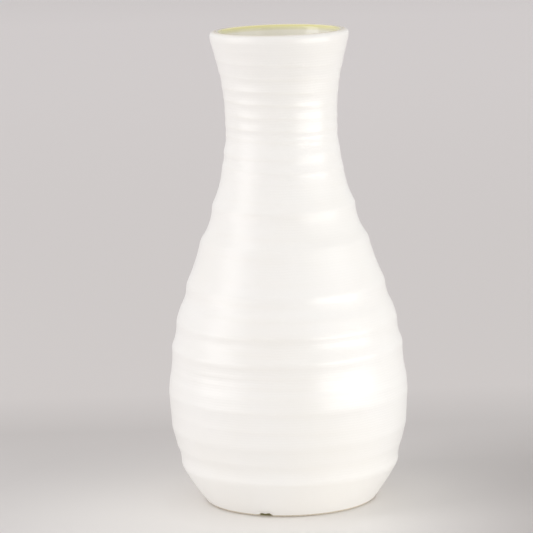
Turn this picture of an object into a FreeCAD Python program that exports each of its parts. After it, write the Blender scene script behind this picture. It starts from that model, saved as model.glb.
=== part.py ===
# A wheel-thrown ceramic bud vase: one fired clay pot and the glaze coats that are fused to it.
# Millimetres, +Z up. The origin is the centre of the ring that the vase stands on.
import FreeCAD, Part
import os
import re
import Sketcher
from FreeCAD import Placement, Rotation, Vector

# Driving dimensions that stand alone.
SIZES = {
    "overall_height": 200.0,
    "outer_glaze": 0.45,
    "liner_glaze": 0.40,
    "base_glaze": 0.40,
    "lip_middle_radius": 26.8,
    "lip_rounding": 1.8,
    "lip_glaze_angle": 50.0,
    "foot_outer_radius": 35.6,
    "foot_inner_radius": 30.4,
    "recess_radius": 29.0,
    "recess_height": 3.0,
    "chip_azimuth": 17.6,
    "chip_radius": 36.3,
    "chip_level": 0.5,
    "chip_half_width": 3.0,
    "chip_half_height": 0.9,
    "chip_depth": 0.75,
}

# The outside, from the glaze line at the foot to the lip, as the potter's fingers left it: a chain of
# bands with a soft ridge between each two. Each row is the height and radius of a ridge on the glazed
# surface, and how far the band below it is hollowed, or bulges if that is negative.
RIDGES = [
    (0.6, 36.2, 0.0),
    (16.0, 46.3, -0.4),
    (24.5, 47.9, 0.6),
    (32.5, 49.9, 0.05),
    (47.0, 50.8, 0.05),
    (52.5, 50.4, 0.0),
    (67.5, 49.0, 0.55),
    (77.5, 46.9, 0.75),
    (84.0, 44.8, -0.1),
    (93.5, 42.1, 0.75),
    (112.5, 35.4, 0.6),
    (127.0, 30.2, 1.3),
    (143.0, 25.5, 0.85),
    (150.0, 24.5, 0.35),
    (158.5, 23.5, 0.45),
    (171.0, 23.8, 0.1),
    (178.0, 24.7, 0.05),
    (184.5, 26.0, 0.25),
    (190.5, 27.4, 0.05),
    (197.0, 29.1, 0.0),
]

# The inside of the clay wall, from just under the lip to the floor. Each row is a place's name, its
# height and radius, and how far the wall above it bows: towards the axis if positive.
INSIDE = [
    ("neck", 160.0, 20.0, 0.9),
    ("shoulder", 115.0, 29.8, 2.1),
    ("high_belly", 78.0, 42.2, -0.3),
    ("belly", 47.0, 45.9, -0.5),
    ("low_belly", 18.0, 40.0, -1.8),
    ("floor", 9.0, 30.0, -2.6),
]

# The lip is a half circle in section, round this centre.
LIP_CENTRE_HEIGHT = "overall_height - lip_rounding"
STRAIGHT = "0"


def sheet_rows():
    """Every driving dimension, by the name of its cell."""
    rows = dict(SIZES)
    for number, (height, radius, hollow) in enumerate(RIDGES):
        rows[f"ridge{number}_height"] = height
        rows[f"ridge{number}_radius"] = radius
        rows[f"ridge{number}_hollow"] = hollow
    for name, height, radius, bow in INSIDE:
        rows[f"inside_{name}_height"] = height
        rows[f"inside_{name}_radius"] = radius
        rows[f"inside_{name}_bow"] = bow
    return rows


def add_sheet(doc):
    """The spreadsheet that drives the model."""
    sheet = doc.addObject("Spreadsheet::Sheet", "Sizes")
    for row, (name, value) in enumerate(sheet_rows().items(), start=1):
        sheet.set(f"A{row}", name)
        sheet.set(f"B{row}", str(value))
        sheet.setAlias(f"B{row}", name)
    doc.recompute()


def formula(text):
    """A formula in cell names, with each name made a full reference to its cell."""
    return re.sub(r"[a-z]+[0-9]*(_[a-z]+)+", r"Sizes.\g<0>", text)


# ---- paths: lists of corners (radius, height, bow of the edge to the next corner), as formulas.
# ---- An edge bows to the right of its direction if its bow is positive.

def outside_path(inset):
    """Up the outside, inset from the glazed surface, from the glaze line to the top ridge."""
    path = []
    last = len(RIDGES) - 1
    for number in range(len(RIDGES)):
        bow = f"-ridge{number + 1}_hollow" if number < last else STRAIGHT
        path.append((f"ridge{number}_radius - {inset}", f"ridge{number}_height", bow))
    return path


def inside_path(coat):
    """Down the inside of a coat of the given thickness, from under the lip to the middle of the floor."""
    first_bow = f"inside_{INSIDE[0][0]}_bow"
    path = [(f"lip_middle_radius - lip_rounding - {coat}", LIP_CENTRE_HEIGHT, first_bow)]
    next_bows = [f"inside_{row[0]}_bow" for row in INSIDE[1:]] + [STRAIGHT]
    for (name, *_), bow in zip(INSIDE[:-1], next_bows):
        path.append((f"inside_{name}_radius - {coat}", f"inside_{name}_height", bow))
    floor_height = f"inside_floor_height + {coat}"
    path.append(("inside_floor_radius", floor_height, STRAIGHT))
    path.append(("0", floor_height, STRAIGHT))
    return path


def lip_arc(coat, from_angle, to_angle, bow_to_next=STRAIGHT):
    """Anticlockwise round the lip, on a coat of the given thickness, between two angles in degrees."""
    ring = f"(lip_rounding + {coat})"
    bow = f"{ring} * (1 - cos(({to_angle} - {from_angle}) / 2 * 1 deg))"
    corners = []
    for angle, edge_bow in ((from_angle, bow), (to_angle, bow_to_next)):
        radius = f"lip_middle_radius + {ring} * cos({angle} * 1 deg)"
        height = f"{LIP_CENTRE_HEIGHT} + {ring} * sin({angle} * 1 deg)"
        corners.append((radius, height, edge_bow))
    return corners


def backwards(path):
    """The same path walked the other way."""
    turned = []
    for place in range(len(path) - 1, -1, -1):
        radius, height, _ = path[place]
        bow = f"-({path[place - 1][2]})" if place > 0 else STRAIGHT
        turned.append((radius, height, bow))
    return turned


# ---- sketching

def edge_geometry(start, end, bow):
    """A line or arc between two points, and which of its ends (1 or 2) lies at the start."""
    if abs(bow) < 1e-9:
        return Part.LineSegment(start, end), 1
    chord = end - start
    to_right = Vector(chord.y, -chord.x, 0).normalize()
    middle = (start + end) * 0.5
    ring = (chord.Length ** 2 + 4 * bow ** 2) / (8 * abs(bow))
    side = 1 if bow > 0 else -1
    centre = middle + to_right * (bow - side * ring)
    first, second = (start, end) if bow > 0 else (end, start)
    angles = []
    for point in (first, second):
        angles.append(Vector(1, 0, 0).getAngle(point - centre) * (1 if point.y >= centre.y else -1))
    arc = Part.ArcOfCircle(Part.Circle(centre, Vector(0, 0, 1), ring), angles[0], angles[1])
    return arc, 1 if bow > 0 else 2


def tie(sketch, kind, places, text):
    """Add a dimension to a sketch and bind it to a formula."""
    value = sketch.evalExpression(formula(text))
    number = sketch.addConstraint(Sketcher.Constraint(kind, *places, float(value)))
    sketch.setExpression(f"Constraints[{number}]", formula(text))


def tie_corner(sketch, edge, end, radius, height):
    """Hold one end of an edge at its radius and height."""
    if radius == "0":
        sketch.addConstraint(Sketcher.Constraint("PointOnObject", edge, end, -2))
    else:
        tie(sketch, "DistanceX", (-1, 1, edge, end), radius)
    if height == "0":
        sketch.addConstraint(Sketcher.Constraint("PointOnObject", edge, end, -1))
    else:
        tie(sketch, "DistanceY", (-1, 1, edge, end), height)


def draw_outline(sketch, corners):
    """A closed, fully bound outline through the corners."""
    def number(text):
        return float(sketch.evalExpression(formula(text)))

    points = [Vector(number(radius), number(height), 0) for radius, height, _ in corners]
    edges = []
    for place, (radius, height, bow) in enumerate(corners):
        following = (place + 1) % len(corners)
        geometry, start_end = edge_geometry(points[place], points[following], number(bow))
        edge = sketch.addGeometry(geometry)
        edges.append((edge, start_end))
        tie_corner(sketch, edge, start_end, radius, height)
        if number(bow) != 0:
            width = f"({corners[following][0]} - ({radius}))"
            rise = f"({corners[following][1]} - ({height}))"
            ring = f"({width} ^ 2 + {rise} ^ 2 + 4 * ({bow}) ^ 2) / (8 * abs({bow}))"
            tie(sketch, "Radius", (edge,), ring)
    for place, (edge, start_end) in enumerate(edges):
        next_edge, next_start = edges[(place + 1) % len(edges)]
        sketch.addConstraint(Sketcher.Constraint("Coincident", edge, 3 - start_end, next_edge, next_start))


def turned_body(doc, name, corners):
    """A body turned on the wheel's axis from a closed outline."""
    body = doc.addObject("PartDesign::Body", name)
    sketch = body.newObject("Sketcher::SketchObject", f"{name}_outline")
    upright = next(plane for plane in body.Origin.OriginFeatures if plane.Role == "XZ_Plane")
    sketch.AttachmentSupport = [(upright, "")]
    sketch.MapMode = "FlatFace"
    doc.recompute()
    draw_outline(sketch, corners)
    doc.recompute()
    turning = body.newObject("PartDesign::Revolution", f"{name}_turning")
    turning.Profile = sketch
    turning.ReferenceAxis = (sketch, ["V_Axis"])
    turning.Angle = 360.0
    sketch.Visibility = False
    body.Placement = Placement(Vector(0, 0, 0), Rotation())
    doc.recompute()
    return body


def chip_foot(doc, body):
    """A flake knocked off the outer edge of the foot, left of the front."""
    before = body.Shape.copy()
    chip = body.newObject("PartDesign::SubtractiveEllipsoid", f"{body.Name}_chip")
    chip.setExpression("Radius1", formula("chip_half_height * 1 mm"))
    chip.setExpression("Radius2", formula("chip_depth * 1 mm"))
    chip.setExpression("Radius3", formula("chip_half_width * 1 mm"))
    chip.setExpression("Placement.Base.x", formula("-chip_radius * sin(chip_azimuth * 1 deg)"))
    chip.setExpression("Placement.Base.y", formula("-chip_radius * cos(chip_azimuth * 1 deg)"))
    chip.setExpression("Placement.Base.z", formula("chip_level"))
    chip.setExpression("Placement.Rotation.Angle", formula("-(90 + chip_azimuth) * 1 deg"))
    body.Tip = chip
    doc.recompute()
    removed = before.cut(body.Shape).Volume
    print(f"{body.Name}: the chip removes {removed:.2f} mm3")
    if removed <= 0.1:
        raise RuntimeError(f"the chip misses {body.Name}")


# ---- the pieces

def clay_body(doc):
    """The thrown and fired pot: foot ring, floor, wall and rounded lip."""
    corners = [
        ("0", "recess_height", STRAIGHT),
        ("recess_radius", "recess_height", STRAIGHT),
        ("foot_inner_radius", "0", STRAIGHT),
        ("foot_outer_radius", "0", STRAIGHT),
    ]
    corners += outside_path("outer_glaze")
    corners += lip_arc("0", "0", "90")[:1]
    corners += lip_arc("0", "90", "180")[:1]
    corners += inside_path("0")
    body = turned_body(doc, "clay_body", corners)
    chip_foot(doc, body)
    return body


def outer_glaze(doc):
    """The white coat outside, from the glaze line above the foot to the shoulder of the lip."""
    corners = outside_path("0")
    corners += lip_arc("outer_glaze", "0", "lip_glaze_angle")
    corners += backwards(lip_arc("0", "0", "lip_glaze_angle"))
    corners += backwards(outside_path("outer_glaze"))
    body = turned_body(doc, "outer_glaze", corners)
    chip_foot(doc, body)
    return body


def liner_glaze(doc):
    """The cream coat inside, over the floor and wall and up to the lip."""
    start = "(180 - lip_glaze_angle)"
    corners = lip_arc("liner_glaze", start, "180")[:1]
    corners += inside_path("liner_glaze")
    corners += backwards(inside_path("0"))[:-1]
    corners += backwards(lip_arc("0", start, "180"))
    return turned_body(doc, "liner_glaze", corners)


def base_glaze(doc):
    """The coat on the underside, inside the foot ring."""
    slope = "(foot_inner_radius - recess_radius) / recess_height"
    corners = [
        ("0", "recess_height - base_glaze", STRAIGHT),
        (f"recess_radius + {slope} * base_glaze", "recess_height - base_glaze", STRAIGHT),
        ("recess_radius", "recess_height", STRAIGHT),
        ("0", "recess_height", STRAIGHT),
    ]
    return turned_body(doc, "base_glaze", corners)


def check_document(doc, pieces):
    """Stop if anything in the document failed, or if a piece isn't one sound solid."""
    for thing in doc.Objects:
        if "Invalid" in thing.State or "Error" in thing.State:
            raise RuntimeError(f"{thing.Name} failed: {thing.State}")
    for piece in pieces:
        shape = piece.Shape
        if shape.isNull() or not shape.isValid() or len(shape.Solids) != 1:
            raise RuntimeError(f"{piece.Label} isn't one valid solid")
        box = shape.optimalBoundingBox(False)
        print(f"{piece.Label}: {shape.Volume / 1000:.2f} cm3, r {box.XMax:.2f}, "
              f"z {box.ZMin:.2f} to {box.ZMax:.2f}, {len(shape.Faces)} faces")


def check_overlaps(pieces):
    """Neighbouring pieces share a surface and no volume."""
    for place, piece in enumerate(pieces):
        for other in pieces[place + 1:]:
            shared = piece.Shape.common(other.Shape).Volume
            print(f"{piece.Label} and {other.Label} share {shared:.4f} mm3")


def export(pieces):
    """Write one STEP file per piece."""
    os.makedirs("parts", exist_ok=True)
    for piece in pieces:
        piece.Shape.exportStep(f"parts/{piece.Label}.step")


doc = FreeCAD.newDocument("bud_vase")
add_sheet(doc)
pieces = [clay_body(doc), outer_glaze(doc), liner_glaze(doc), base_glaze(doc)]
doc.recompute()
check_document(doc, pieces)
check_overlaps(pieces)
export(pieces)
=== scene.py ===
import math

import bpy
import numpy as np
from mathutils import Matrix, Vector
from mathutils.bvhtree import BVHTree


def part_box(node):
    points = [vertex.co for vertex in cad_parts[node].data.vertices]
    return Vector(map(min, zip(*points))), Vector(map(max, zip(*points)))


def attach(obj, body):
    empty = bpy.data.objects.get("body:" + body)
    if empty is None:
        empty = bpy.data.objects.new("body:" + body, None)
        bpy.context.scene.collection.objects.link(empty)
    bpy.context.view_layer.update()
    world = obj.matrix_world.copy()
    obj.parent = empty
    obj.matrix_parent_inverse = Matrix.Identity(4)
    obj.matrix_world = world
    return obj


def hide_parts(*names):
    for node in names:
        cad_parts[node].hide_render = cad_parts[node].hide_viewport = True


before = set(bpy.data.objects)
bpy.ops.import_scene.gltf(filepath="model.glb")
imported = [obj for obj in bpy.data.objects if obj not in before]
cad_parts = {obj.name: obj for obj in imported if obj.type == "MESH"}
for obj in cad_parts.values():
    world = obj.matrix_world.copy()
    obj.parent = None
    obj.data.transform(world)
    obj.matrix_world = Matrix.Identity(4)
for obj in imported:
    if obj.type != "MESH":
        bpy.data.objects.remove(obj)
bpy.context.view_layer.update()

# Lengths are in metres. An azimuth is measured round the vase from its front (-Y) towards its right (+X).
MM = 0.001
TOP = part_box("clay_body")[1].z
GLAZE_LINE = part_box("outer_glaze")[0].z
FLOOR_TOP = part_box("liner_glaze")[0].z
FAR_OUTSIDE = 2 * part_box("outer_glaze")[1].x

# How finely the surfaces are made.
COLUMNS = 288
OUTSIDE_STEP = 0.65 * MM
INSIDE_STEP = 0.91 * MM
CLAY_STEP = 1.5 * MM
HIDDEN_STEP = 6 * MM
PROFILE_STEP = 0.2 * MM

# How far melted glaze softens the CAD profile, and how far from a solid's end its profile is read.
OUTSIDE_SOFTENING = 0.8 * MM
INSIDE_SOFTENING = 1.5 * MM
CLEAR_OF_GLAZE_LINE = 0.2 * MM
CLEAR_OF_FLOOR = 1.0 * MM

# The thickness of each coat, and of the two lip coats at their edges beside the crest.
OUTER_COAT = 0.45 * MM
LINER_COAT = 0.40 * MM
BASE_COAT = 0.40 * MM
THIN_COAT = 0.04 * MM

# The lip: the radius of the clay's rounding, the angle up it that the coats reach, and the distance
# along the surface over which they look thinner.
LIP_ROUNDING = 1.80 * MM
LIP_GLAZE_ANGLE = math.radians(82)
THINNING = 4.0 * MM

# The foot of the outer coat: how far its face starts above the glaze line, and how thin its edge looks.
ROLLED_EDGE = 0.45 * MM
ROLLED_EDGE_THINNESS = 0.9

# The inside's floor: how far above it the wall ends, and the power of the curve between them.
FLOOR_CORNER = 1.4 * MM
FLOOR_FLATNESS = 6

# The line that the potter's fingertip left as it rose: it winds down the outside in one spiral. These
# are its heights where it crosses the left front, and the depths of the scallops below it, in mm.
SPIRAL_AZIMUTH = math.radians(-32)
SPIRAL = [
    (197.0, 0.00), (193.2, 0.10), (188.1, 0.22), (181.6, 0.28), (176.4, 0.30), (171.1, 0.32),
    (165.4, 0.33), (160.3, 0.30), (155.9, 0.28), (148.3, 0.26), (143.0, 0.13), (138.5, 0.15),
    (131.0, 0.14), (126.2, 0.16), (116.6, 0.16), (108.5, 0.06), (99.5, 0.10), (90.5, 0.18),
    (84.8, 0.15), (77.3, 0.15), (71.0, 0.09), (65.7, 0.10), (61.5, 0.16), (57.8, 0.10),
    (53.2, 0.10), (47.7, 0.16), (39.1, 0.10), (31.0, 0.09), (24.2, 0.09), (16.2, 0.03), (4.0, 0.00),
]

# The inside was thrown with the other hand, in even steps. Its spiral's azimuth is in radians.
INSIDE_SPIRAL_AZIMUTH = 1.1
INSIDE_PITCH = 7.5 * MM
INSIDE_SCALLOP = 0.18 * MM

# The height over which the marks of throwing fade out below the lip, and the unit in which the stand_out
# feature tells a glaze how far they stand out.
CALM_LIP = 4 * MM
STAND_OUT = 0.1 * MM

# How far the outside leaves a true circle, in two slow waves: their depths, the height that turns the
# second one by a radian, and the height over which both fade out above the foot.
OVAL = 0.06 * MM
THREE_SIDED = 0.05 * MM
TWIST_HEIGHT = 31 * MM
CALM_FOOT = 6 * MM

# The looks of the two glazes. Thinness is 1 at the edge of a coat on the lip, and 0 from THINNING on. A
# glaze turns to its thin colour, and then to its edge colour, between the two values of it given for each.
WHITE_GLAZE = {
    "thick": (0.93, 0.92, 0.90),
    "cloudy": (0.92, 0.905, 0.875),
    "thin": (0.86, 0.81, 0.72),
    "edge": (0.84, 0.78, 0.69),
    "thin_between": (0.58, 0.88),
    "edge_between": (0.80, 0.98),
    "roughness": 0.36,
    "coat": 0.25,
    "coat_roughness": 0.26,
}
CREAM_GLAZE = {
    "thick": (0.98, 0.955, 0.85),
    "cloudy": (0.97, 0.945, 0.83),
    "thin": (0.87, 0.82, 0.36),
    "edge": (0.86, 0.78, 0.68),
    "thin_between": (0.16, 0.66),
    "edge_between": (0.72, 0.94),
    "roughness": 0.18,
    "coat": 0.6,
    "coat_roughness": 0.12,
}

# The flake knocked off the foot: where it is, its size, how far up the coat it pulls the glaze, how deep
# it bites into the clay and how far up.
CHIP_AZIMUTH = math.radians(-17.6)
CHIP_HALF_WIDTH = 3.2 * MM
CHIP_HEIGHT = 0.85 * MM
CHIP_FADE = 2.2 * MM
CHIP_DEPTH = 0.35 * MM
CLAY_BESIDE_CHIP = 2.6 * MM

# The paper under and behind the vase: its colours close to the vase, in front, to the right, behind,
# further behind and far away, and half the sheet's width. Apart from the colour in front, they are painted
# light and shade: a painted pool of light close to the vase, a painted shadow to its right, painted shade
# behind it, and painted light further behind and far away, standing in for a lit backdrop. Two of the
# colours are pairs, mottled together.
PAINTED_LIGHT_POOL = (0.93, 0.91, 0.88)
NEAR_PAPER = ((0.72, 0.70, 0.69), (0.73, 0.71, 0.70))
SHADED_PAPER = (0.50, 0.475, 0.465)
PAINTED_SHADE_BEHIND = ((0.60, 0.575, 0.565), (0.61, 0.585, 0.575))
PAINTED_LIGHT_BEYOND = (0.70, 0.67, 0.66)
PAINTED_LIGHT_FAR = (0.97, 0.93, 0.93)
PAPER_REACH = 6.0

# The softboxes: azimuth and elevation in degrees, distance, size, power and colour.
WARM = (1.0, 1.0, 0.98)
PINKISH = (1.0, 0.985, 0.985)
SOFTBOXES = {
    "right_strip": (58, -1.5, 0.9, (0.95, 0.15), 3.45, WARM),
    "right_softbox": (62, 24, 1.2, (1.1, 0.6), 1.62, WARM),
    "left_strip": (-68, 0, 0.9, (0.85, 0.2), 1.3, PINKISH),
    "left_softbox": (-73, 31, 1.2, (0.6, 1.1), 4.0, PINKISH),
    "overhead": (0, 86, 1.4, (1.4, 1.4), 0.6, (1.0, 0.99, 0.985)),
    "back_softbox": (180, 50, 2.2, (2.5, 1.5), 5.0, PINKISH),
}
TENT_COLOUR = (1.0, 0.985, 0.98, 1)
TENT_STRENGTH = 0.61

# The camera.
CAMERA_PLACE = (-0.00789, -1.188, 0.3055)
CAMERA_LENS = 192.56
CAMERA_DOWN = math.radians(9.818)
CAMERA_ROLL = math.radians(-1.568)


# ---- reading the turned shape from the CAD solids

def smooth(values, spread):
    """Blur a row of values with a bell of the given spread, in steps, holding both ends."""
    reach = int(4 * spread) + 1
    offsets = np.arange(-reach, reach + 1)
    bell = np.exp(-0.5 * (offsets / spread) ** 2)
    padded = np.pad(values, reach, mode="reflect", reflect_type="odd")
    return np.convolve(padded, bell / bell.sum(), mode="valid")


class Wall:
    """The radius of one side of a turned CAD solid at any height."""

    def __init__(self, node_name, low, high, from_outside, softening):
        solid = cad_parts[node_name].data
        tree = BVHTree.FromPolygons([v.co for v in solid.vertices], [p.vertices for p in solid.polygons])
        self.heights = np.arange(low, high, PROFILE_STEP)
        start = FAR_OUTSIDE if from_outside else 0.0
        way = -1.0 if from_outside else 1.0
        radii = []
        for height in self.heights:
            hit, *_ = tree.ray_cast(Vector((start, 0, height)), Vector((way, 0, 0)))
            radii.append(hit.x)
        self.radii = smooth(np.array(radii), softening / PROFILE_STEP)

    def radius(self, height):
        return np.interp(height, self.heights, self.radii)


LIP_CENTRE = TOP - LIP_ROUNDING
OUTSIDE = Wall("outer_glaze", GLAZE_LINE + CLEAR_OF_GLAZE_LINE, LIP_CENTRE, True, OUTSIDE_SOFTENING)
INSIDE = Wall("liner_glaze", FLOOR_TOP + CLEAR_OF_FLOOR, LIP_CENTRE, False, INSIDE_SOFTENING)
# The middle of the clay, between the coats, at the height of the lip's centre.
LIP_RADIUS = (OUTSIDE.radius(LIP_CENTRE) - OUTER_COAT + INSIDE.radius(LIP_CENTRE) + LINER_COAT) / 2


# ---- the marks of throwing

def smoothstep(low, high, values):
    share = np.clip((values - low) / (high - low), 0, 1)
    return share * share * (3 - 2 * share)


def scallops(heights, azimuths, line_heights, line_depths, start):
    """How far the surface stands out, at each height and azimuth, between the turns of a spiral line.
    heights and azimuths are grids of the same shape. A scallop is deeper on two sides of the vase than
    between them, not quite the same sides on each turn."""
    turn = np.mod(azimuths - start, 2 * math.pi) / (2 * math.pi)
    out = np.zeros_like(heights)
    for number in range(len(line_heights) - 2):
        upper = line_heights[number] * (1 - turn) + line_heights[number + 1] * turn
        lower = line_heights[number + 1] * (1 - turn) + line_heights[number + 2] * turn
        depth = line_depths[number] * (1 - turn) + line_depths[number + 1] * turn
        strength = 0.6 + 0.4 * np.cos(2 * (azimuths - start) + 0.9 * math.sin(2.4 * number))
        share = (upper - heights) / (upper - lower)
        inside = (share >= 0) & (share < 1)
        bowl = 1 - (2 * share - 1) ** 2
        out += np.where(inside, depth * strength * (2 / 3 - bowl), 0)
    return out


def outside_marks(heights, azimuths):
    lines = np.array(SPIRAL) * MM
    marks = scallops(heights, azimuths, lines[:, 0], lines[:, 1], SPIRAL_AZIMUTH)
    wander = OVAL * np.sin(2 * azimuths + 0.7) + THREE_SIDED * np.sin(3 * azimuths + heights / TWIST_HEIGHT)
    return marks + wander * smoothstep(GLAZE_LINE, GLAZE_LINE + CALM_FOOT, heights)


def inside_marks(heights, azimuths):
    turns = int((TOP - FLOOR_TOP) / INSIDE_PITCH)
    line_heights = TOP - CALM_LIP - INSIDE_PITCH * np.arange(turns)
    line_depths = np.full(turns, INSIDE_SCALLOP)
    line_depths[0] = 0
    return -scallops(heights, azimuths, line_heights, line_depths, INSIDE_SPIRAL_AZIMUTH)


def chip_shape(azimuths):
    """How much of the foot's edge is gone at each azimuth, from 0 to 1, in two humps with ragged tops."""
    away = (azimuths - CHIP_AZIMUTH) * OUTSIDE.radius(GLAZE_LINE) / CHIP_HALF_WIDTH
    ragged = 0.78 - 0.2 * np.cos(6.3 * away + 0.5) + 0.06 * np.sin(15.0 * away)
    return np.clip(1 - np.abs(away) ** 4, 0, 1) * ragged


# ---- turned meshes

AZIMUTHS = np.arange(COLUMNS) / COLUMNS * 2 * math.pi - math.pi


def steps(low, high, step):
    """Evenly spaced values from low to high, both included."""
    return np.linspace(low, high, max(2, int(round(abs(high - low) / step)) + 1))


def grid(heights):
    """The heights and azimuths of every point of a turned surface, as two grids."""
    return np.meshgrid(heights, AZIMUTHS, indexing="ij")


def turned_piece(name, radii, heights, closed, **features):
    """A mesh from grids of radius and height, one row per step along its outline and one column per
    azimuth. A closed outline joins its last row to its first; an open one starts and ends on the axis,
    in a single point each. features are named values for the material, one grid each."""
    rows = len(radii)
    across = np.broadcast_to(AZIMUTHS, radii.shape)
    points = np.stack([radii * np.sin(across), -radii * np.cos(across), heights], axis=-1)
    corners = points.reshape(-1, 3).tolist()
    values = {key: value.reshape(-1).tolist() for key, value in features.items()}
    faces = []
    for row in range(rows if closed else rows - 1):
        below, above = row * COLUMNS, (row + 1) % rows * COLUMNS
        for column in range(COLUMNS):
            beside = (column + 1) % COLUMNS
            faces.append((below + column, below + beside, above + beside, above + column))
    if not closed:
        for row, flip in ((0, True), (rows - 1, False)):
            pole = len(corners)
            corners.append((0, 0, float(heights[row].mean())))
            for key in values:
                values[key].append(float(features[key][row].mean()))
            for column in range(COLUMNS):
                pair = (row * COLUMNS + column, row * COLUMNS + (column + 1) % COLUMNS)
                faces.append((pair[1], pair[0], pole) if flip else (*pair, pole))
    mesh = bpy.data.meshes.new(name)
    mesh.from_pydata(corners, [], faces)
    for key, row_values in values.items():
        attribute = mesh.attributes.new(key, "FLOAT", "POINT")
        attribute.data.foreach_set("value", row_values)
    mesh.shade_smooth()
    mesh.validate()
    piece = bpy.data.objects.new(name, mesh)
    bpy.context.scene.collection.objects.link(piece)
    return piece


def repeat_round(values):
    """A grid with the same row of values at every azimuth."""
    return np.repeat(np.asarray(values)[:, None], COLUMNS, axis=1)


def stack(*parts):
    """Join pieces of outline, each a tuple of grids, end to end."""
    return [np.concatenate(columns, axis=0) for columns in zip(*parts)]


def unmarked(radii, heights):
    """A stretch of a coat's outline with no marks and no thinning: radius, height, stand-out, thinness."""
    return radii, heights, np.zeros_like(radii), np.zeros_like(radii)


def bare_lip(angles, sign):
    """The clay's rounding at angles up from level. sign is 1 outside the lip's centre and -1 inside."""
    radii = LIP_RADIUS + sign * LIP_ROUNDING * np.cos(angles)
    return repeat_round(radii), repeat_round(LIP_CENTRE + LIP_ROUNDING * np.sin(angles))


def coated_lip(angles, coat, sign):
    """The face of a coat that thins towards the crest: radius, height, stand-out, thinness."""
    thickness = THIN_COAT + (coat - THIN_COAT) * (1 - smoothstep(0, LIP_GLAZE_ANGLE, angles))
    ring = LIP_ROUNDING + thickness
    radii = repeat_round(LIP_RADIUS + sign * ring * np.cos(angles))
    thinness = repeat_round(1 - (LIP_GLAZE_ANGLE - angles) * LIP_ROUNDING / THINNING)
    return radii, repeat_round(LIP_CENTRE + ring * np.sin(angles)), np.zeros_like(radii), thinness


def outside_face(step, inset):
    """Up the outside from the glaze line to the lip's centre height: radius, height, stand-out."""
    heights, across = grid(steps(GLAZE_LINE + ROLLED_EDGE, LIP_CENTRE, step))
    marks = outside_marks(heights, across)
    fade = 1 - smoothstep(LIP_CENTRE - CALM_LIP, LIP_CENTRE, heights)
    return OUTSIDE.radius(heights) + marks * fade - inset, heights, marks / STAND_OUT


def inside_face(step, coat):
    """Down the inside of the liner (coat 0) or of the clay behind it, to the edge of the floor."""
    heights, across = grid(steps(LIP_CENTRE, FLOOR_TOP + FLOOR_CORNER, step))
    marks = inside_marks(heights, across)
    fade = 1 - smoothstep(LIP_CENTRE - CALM_LIP, LIP_CENTRE, heights)
    return INSIDE.radius(heights) + marks * fade + coat, heights, marks / STAND_OUT


def dish(shares, wall_radii, wall_heights, middle):
    """The inside's floor, at shares of the way out from the axis to the end of the wall."""
    rise = (wall_heights[-1, 0] - middle) * shares ** FLOOR_FLATNESS
    return repeat_round(wall_radii[-1].mean() * shares), repeat_round(middle + rise)


# ---- materials

def new_material(name, roughness, **sockets):
    """A material with one Principled shader, whose plain values are set on its own sockets."""
    material = bpy.data.materials.new(name)
    material.use_nodes = True
    shader = material.node_tree.nodes["Principled BSDF"]
    shader.inputs["Roughness"].default_value = roughness
    for socket, value in sockets.items():
        shader.inputs[socket.replace("_", " ")].default_value = value
    return material, shader


def node(material, kind, label, **settings):
    made = material.node_tree.nodes.new(kind)
    made.label = label
    for key, value in settings.items():
        if key in made.inputs:
            made.inputs[key].default_value = value
        else:
            setattr(made, key, value)
    return made


def link(material, start, end):
    material.node_tree.links.new(start, end)


def noise(material, label, scale, detail=3.0):
    """Noise in the vase's own frame, with its scale in marks per metre."""
    place = node(material, "ShaderNodeTexCoord", "place")
    made = node(material, "ShaderNodeTexNoise", label, Scale=scale, Detail=detail)
    link(material, place.outputs["Object"], made.inputs["Vector"])
    return made.outputs["Fac"]


def feature(material, name):
    return node(material, "ShaderNodeAttribute", name, attribute_name=name).outputs["Fac"]


def remap(material, value, label, old, new):
    made = node(material, "ShaderNodeMapRange", label)
    made.inputs["From Min"].default_value, made.inputs["From Max"].default_value = old
    made.inputs["To Min"].default_value, made.inputs["To Max"].default_value = new
    link(material, value, made.inputs["Value"])
    return made.outputs["Result"]


def blend_colours(material, label, share, first, second):
    """first where share is 0 and second where it is 1. Each is a colour or another node's output."""
    made = node(material, "ShaderNodeMix", label, data_type="RGBA")
    link(material, share, made.inputs["Factor"])
    # A mix node's colours are its inputs 6 and 7 and its output 2. The others are for numbers and vectors.
    for socket, colour in ((made.inputs[6], first), (made.inputs[7], second)):
        if isinstance(colour, tuple):
            socket.default_value = (*colour, 1)
        else:
            link(material, colour, socket)
    return made.outputs[2]


def add_bumps(material, shader, bumps):
    """Chain bumps, each a height output and its depth in metres, into the shader's normal."""
    previous = None
    for height, depth in bumps:
        bump = node(material, "ShaderNodeBump", "bump", Strength=1.0, Distance=depth)
        link(material, height, bump.inputs["Height"])
        if previous:
            link(material, previous, bump.inputs["Normal"])
        previous = bump.outputs["Normal"]
    link(material, previous, shader.inputs["Normal"])


# The height of one band of Blender's wave texture at a scale of 1.
WAVE_BAND = 0.314


def wheel_lines(material, label, pitch, waver):
    """Fine level lines, as fingers and sponge leave them, one every pitch of height."""
    place = node(material, "ShaderNodeTexCoord", "place")
    made = node(material, "ShaderNodeTexWave", label, bands_direction="Z", Scale=WAVE_BAND / pitch,
                Distortion=waver, Detail=2.0)
    made.inputs["Detail Scale"].default_value = 0.4
    link(material, place.outputs["Object"], made.inputs["Vector"])
    return made.outputs["Fac"]


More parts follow.
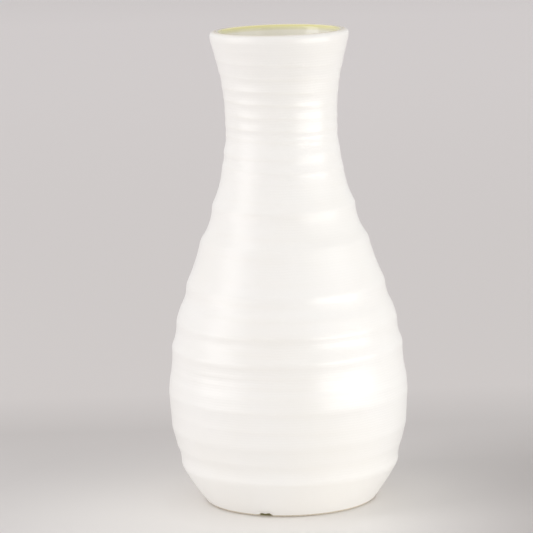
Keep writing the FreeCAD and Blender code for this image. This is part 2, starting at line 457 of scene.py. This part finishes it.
def glaze_material(name, look):
    """A glaze: cloudy where it is thick, another colour where it breaks thin over ridges and towards its
    edge, and a third along the very edge, where the clay shows through."""
    material, shader = new_material(name, look["roughness"], Coat_Weight=look["coat"],
                                    Coat_Roughness=look["coat_roughness"], Coat_IOR=1.5, IOR=1.5)
    clouds = remap(material, noise(material, "clouds in the glaze", 28), "clouds", (0.35, 0.7), (0, 1))
    base = blend_colours(material, "cloudy", clouds, look["thick"], look["cloudy"])
    ridges = remap(material, feature(material, "stand_out"), "ridges", (0.1, 1.5), (0, 0.12))
    broken = blend_colours(material, "thin on ridges", ridges, base, look["thin"])
    thinness = feature(material, "thinness")
    near_edge = remap(material, thinness, "near the edge", look["thin_between"], (0, 1))
    thinned = blend_colours(material, "thin near the edge", near_edge, broken, look["thin"])
    at_edge = remap(material, thinness, "at the edge", look["edge_between"], (0, 1))
    final = blend_colours(material, "clay shows at the edge", at_edge, thinned, look["edge"])
    link(material, final, shader.inputs["Base Color"])
    gloss = noise(material, "gloss", 90, 4)
    spread = (look["roughness"] - 0.05, look["roughness"] + 0.05)
    link(material, remap(material, gloss, "roughness", (0.3, 0.7), spread), shader.inputs["Roughness"])
    add_bumps(material, shader, [
        (wheel_lines(material, "sponge lines", 1.1 * MM, 3.0), 0.012 * MM),
        (noise(material, "orange peel", 650, 2), 0.018 * MM),
    ])
    return material


def clay_material():
    """Fired clay, bare: fine sandy grain, level turning lines, and painted shade where the foot is chipped.
    """
    material, shader = new_material("fired_clay", 0.8)
    grain = remap(material, noise(material, "grain", 1800, 4), "grain", (0.35, 0.65), (0, 1))
    base = blend_colours(material, "grain", grain, (0.70, 0.63, 0.53), (0.80, 0.75, 0.65))
    speckle = remap(material, noise(material, "speckle", 900, 1), "speckle", (0.66, 0.72), (0, 0.6))
    speckled = blend_colours(material, "speckle", speckle, base, (0.38, 0.31, 0.22))
    # Painted shade: the clay is painted nearly black in the chip at the foot, for the shade inside it.
    with_chip_shade = blend_colours(material, "chip", feature(material, "chip"), speckled, (0.16, 0.145, 0.065))
    link(material, with_chip_shade, shader.inputs["Base Color"])
    add_bumps(material, shader, [
        (wheel_lines(material, "turning lines", 0.6 * MM, 1.5), 0.02 * MM),
        (noise(material, "sand", 2200, 3), 0.03 * MM),
    ])
    return material


# ---- the pieces

def finish_piece(piece, material, node_name):
    piece.data.materials.append(material)
    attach(piece, "root")
    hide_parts(node_name)


def bead(radius, height, size, start, end, count):
    """A rounded edge: a small arc of grid rows about a centre, between two angles in degrees."""
    angles = np.radians(np.linspace(start, end, count))
    return radius + size * np.cos(angles)[:, None], height + size * np.sin(angles)[:, None]


def make_outer_glaze():
    """The white coat: a thin closed shell from the rolled edge at the foot to the lip."""
    radii, heights, stand_out = outside_face(OUTSIDE_STEP, 0)
    chip = chip_shape(AZIMUTHS) * CHIP_HEIGHT
    lift = chip * (1 - smoothstep(0, CHIP_FADE, heights - heights[0, 0]))
    face = (radii, heights + lift, stand_out, np.zeros_like(radii))

    angles = np.linspace(0, LIP_GLAZE_ANGLE, 14)[1:]
    lip = coated_lip(angles, OUTER_COAT, 1)
    lip_back = unmarked(*bare_lip(angles[::-2], 1))

    hidden, hidden_heights, _ = outside_face(HIDDEN_STEP, OUTER_COAT)
    hidden_lift = chip * (hidden_heights == hidden_heights[0])
    back = unmarked(hidden[::-1], (hidden_heights + hidden_lift)[::-1])

    size = OUTER_COAT / 2
    turn_radii, turn_heights = bead(radii[0] - size, heights[0] + lift[0], size, -170, -10, 7)
    edge = (turn_radii, turn_heights, 0 * turn_radii, np.full_like(turn_radii, ROLLED_EDGE_THINNESS))

    radii, heights, stand_out, thinness = stack(face, lip, lip_back, back, edge)
    piece = turned_piece("outer_glaze_coat", radii, heights, True, stand_out=stand_out, thinness=thinness)
    material = glaze_material("white_glaze", WHITE_GLAZE)
    finish_piece(piece, material, "outer_glaze")
    return material


def make_liner_glaze():
    """The cream coat: a thin cup from the lip down the wall and over the floor."""
    angles = np.linspace(LIP_GLAZE_ANGLE, 0, 12)[:-1]
    lip = coated_lip(angles, LINER_COAT, -1)
    radii, heights, stand_out = inside_face(INSIDE_STEP, 0)
    below_edge = LIP_GLAZE_ANGLE * LIP_ROUNDING + LIP_CENTRE - heights
    face = (radii, heights, stand_out, np.clip(1 - below_edge / THINNING, 0, 1))
    cup_floor = unmarked(*dish(np.linspace(0.97, 0.02, 24), radii, heights, FLOOR_TOP + LINER_COAT))

    back_floor = unmarked(*dish(np.linspace(0.02, 1.0, 8), radii, heights, FLOOR_TOP))
    hidden, hidden_heights, _ = inside_face(HIDDEN_STEP, LINER_COAT)
    back = unmarked(hidden[:-1][::-1], hidden_heights[:-1][::-1])
    lip_back = unmarked(*bare_lip(angles[::-2], -1))

    # The outline runs from the floor's middle up the coat's face, over its edge and back down behind it.
    upward = [rows[::-1] for rows in stack(lip, face, cup_floor)]
    behind = [rows[::-1] for rows in stack(back_floor, back, lip_back)]
    radii, heights, stand_out, thinness = stack(upward, behind)
    piece = turned_piece("liner_glaze_coat", radii, heights, False, stand_out=stand_out, thinness=thinness)
    finish_piece(piece, glaze_material("cream_glaze", CREAM_GLAZE), "liner_glaze")


def make_base_glaze(material):
    """The coat on the underside: a thin, slightly rippled disc with a rounded edge."""
    low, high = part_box("base_glaze")
    rim = high.x - 0.25 * MM
    shares = np.linspace(0.03, 1.0, 40)
    ripple = 0.03 * MM * np.sin(shares * 40)
    under = (repeat_round(rim * shares), repeat_round(low.z + ripple))
    turn_radii, turn_heights = bead(rim, (low.z + high.z) / 2, BASE_COAT / 2, -80, 80, 7)
    edge = (repeat_round(turn_radii[:, 0]), repeat_round(turn_heights[:, 0]))
    top = (repeat_round(rim * shares[::-6]), repeat_round(high.z + 0 * shares[::-6]))
    radii, heights = stack(under, edge, top)
    piece = turned_piece("base_glaze_coat", radii, heights, False, stand_out=0 * radii, thinness=0 * radii)
    finish_piece(piece, material, "base_glaze")


def make_clay_body():
    """The pot itself. Only its foot ring and the crest of its lip show."""
    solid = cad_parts["clay_body"].data
    standing = [math.hypot(v.co.x, v.co.y) for v in solid.vertices if v.co.z < 0.01 * MM]
    ring_inside, ring_outside = min(standing), max(standing)
    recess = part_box("base_glaze")[1].z
    recess_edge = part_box("base_glaze")[1].x - 0.2 * MM

    shares = np.linspace(0.03, 1.0, 10)
    under = (repeat_round(recess_edge * shares), repeat_round(recess + 0 * shares))
    # Radius and height across the foot ring, with both its edges worn round.
    ring_points = [
        (ring_inside - 0.5 * MM, 0.9 * MM),
        (ring_inside - 0.05 * MM, 0.25 * MM),
        (ring_inside + 0.3 * MM, 0.0),
        ((ring_inside + ring_outside) / 2, 0.0),
        (ring_outside - 0.3 * MM, 0.0),
        (ring_outside - 0.05 * MM, 0.15 * MM),
        (ring_outside + 0.05 * MM, 0.45 * MM),
    ]
    ring = tuple(repeat_round(values) for values in zip(*ring_points))

    wall = outside_face(CLAY_STEP, OUTER_COAT)[:2]
    lip = bare_lip(np.linspace(0, math.pi, 33)[1:-1], 1)
    hollow = inside_face(HIDDEN_STEP, LINER_COAT)[:2]
    hollow_floor = dish(np.linspace(0.97, 0.03, 8), *hollow, FLOOR_TOP)

    radii, heights = stack(under, ring, wall, lip, hollow, hollow_floor)
    outer_foot = (heights < CLAY_BESIDE_CHIP) & (radii > ring_outside)
    chip = np.where(outer_foot, chip_shape(AZIMUTHS), 0)
    # The chip's share, strengthened, carries painted shade into the clay's colour.
    chip_shade = np.clip(chip * 1.6, 0, 1)
    piece = turned_piece("clay_pot", radii - chip * CHIP_DEPTH, heights, False, chip=chip_shade)
    finish_piece(piece, clay_material(), "clay_body")


# ---- the room

def paper_material():
    """Pale paper with painted light and shade: a painted pool of light round the vase, a painted shadow to
    its right, painted shade behind it and painted light further back. The ranges are in metres from the
    vase's axis."""
    material, shader = new_material("paper", 0.75)
    place = node(material, "ShaderNodeTexCoord", "place").outputs["Object"]
    parts = node(material, "ShaderNodeSeparateXYZ", "parts")
    link(material, place, parts.inputs["Vector"])
    away = node(material, "ShaderNodeVectorMath", "away from the vase", operation="LENGTH")
    link(material, place, away.inputs[0])
    x, y = parts.outputs["X"], parts.outputs["Y"]

    mottle = remap(material, noise(material, "paper mottle", 2.0), "mottle", (0.3, 0.7), (0, 1))
    # Painted light: a pool of light and reflection painted on the paper round the vase.
    light_pool_share = remap(material, away.outputs["Value"], "round the vase", (0.13, 0.06), (0, 1))
    # Painted shadow: the paper is painted darker to the right of the vase.
    right = remap(material, x, "towards the right", (0.03, 0.11), (0, 1))
    near = blend_colours(material, "near", mottle, *NEAR_PAPER)
    light_pool = blend_colours(material, "light_pool", light_pool_share, near, PAINTED_LIGHT_POOL)
    front = blend_colours(material, "front", right, light_pool, SHADED_PAPER)

    # Painted shade in a band behind the vase, then painted light further back and far away, standing in for
    # a lit backdrop.
    beyond = remap(material, y, "beyond", (0.13, 0.21), (0, 1))
    far = remap(material, y, "far behind", (0.21, 2.4), (0, 1))
    shade_behind = blend_colours(material, "shade_behind", mottle, *PAINTED_SHADE_BEHIND)
    light_beyond = blend_colours(material, "light_beyond", beyond, shade_behind, PAINTED_LIGHT_BEYOND)
    back = blend_colours(material, "back", far, light_beyond, PAINTED_LIGHT_FAR)

    behind = remap(material, y, "behind", (-0.08, 0.13), (0, 1))
    link(material, blend_colours(material, "paper", behind, front, back), shader.inputs["Base Color"])
    return material


def floor():
    """A wide level sheet of paper."""
    corners = [(x, y, 0) for x, y in ((-1, -1), (1, -1), (1, 1), (-1, 1))]
    mesh = bpy.data.meshes.new("paper")
    mesh.from_pydata([Vector(corner) * PAPER_REACH for corner in corners], [], [(0, 1, 2, 3)])
    mesh.materials.append(paper_material())
    sheet = bpy.data.objects.new("paper", mesh)
    bpy.context.scene.collection.objects.link(sheet)


def soft_light(name, azimuth, elevation, distance, size, power, colour):
    """A rectangular softbox facing the vase's middle, at an azimuth and elevation in degrees."""
    middle = Vector((0, 0, TOP / 2))
    turn, rise = math.radians(azimuth), math.radians(elevation)
    away = Vector((math.sin(turn) * math.cos(rise), -math.cos(turn) * math.cos(rise), math.sin(rise)))
    data = bpy.data.lights.new(name, "AREA")
    data.shape = "RECTANGLE"
    data.size, data.size_y = size
    data.energy = power
    data.color = colour
    lamp = bpy.data.objects.new(name, data)
    lamp.location = middle + away * distance
    lamp.rotation_euler = (-away).to_track_quat("-Z", "Y").to_euler()
    bpy.context.scene.collection.objects.link(lamp)


def lights():
    """A light tent: even light from all round, a softbox overhead, one behind and one high on each side,
    and a long low strip on each side, whose reflections reach down the belly."""
    for name, settings in SOFTBOXES.items():
        soft_light(name, *settings)
    world = bpy.data.worlds.new("tent")
    world.use_nodes = True
    background = world.node_tree.nodes["Background"]
    background.inputs["Color"].default_value = TENT_COLOUR
    background.inputs["Strength"].default_value = TENT_STRENGTH
    bpy.context.scene.world = world


def camera():
    """Front view from a little above, with the long lens and the slight tilt of the photograph."""
    data = bpy.data.cameras.new("camera")
    data.lens = CAMERA_LENS
    view = bpy.data.objects.new("camera", data)
    pitch = Matrix.Rotation(math.radians(90) - CAMERA_DOWN, 4, "X")
    roll = Matrix.Rotation(CAMERA_ROLL, 4, "Z")
    view.matrix_world = Matrix.Translation(CAMERA_PLACE) @ pitch @ roll
    bpy.context.scene.collection.objects.link(view)
    bpy.context.scene.camera = view
    bpy.context.scene.view_settings.view_transform = "Standard"


camera()
white = make_outer_glaze()
make_liner_glaze()
make_base_glaze(white)
make_clay_body()
floor()
lights()
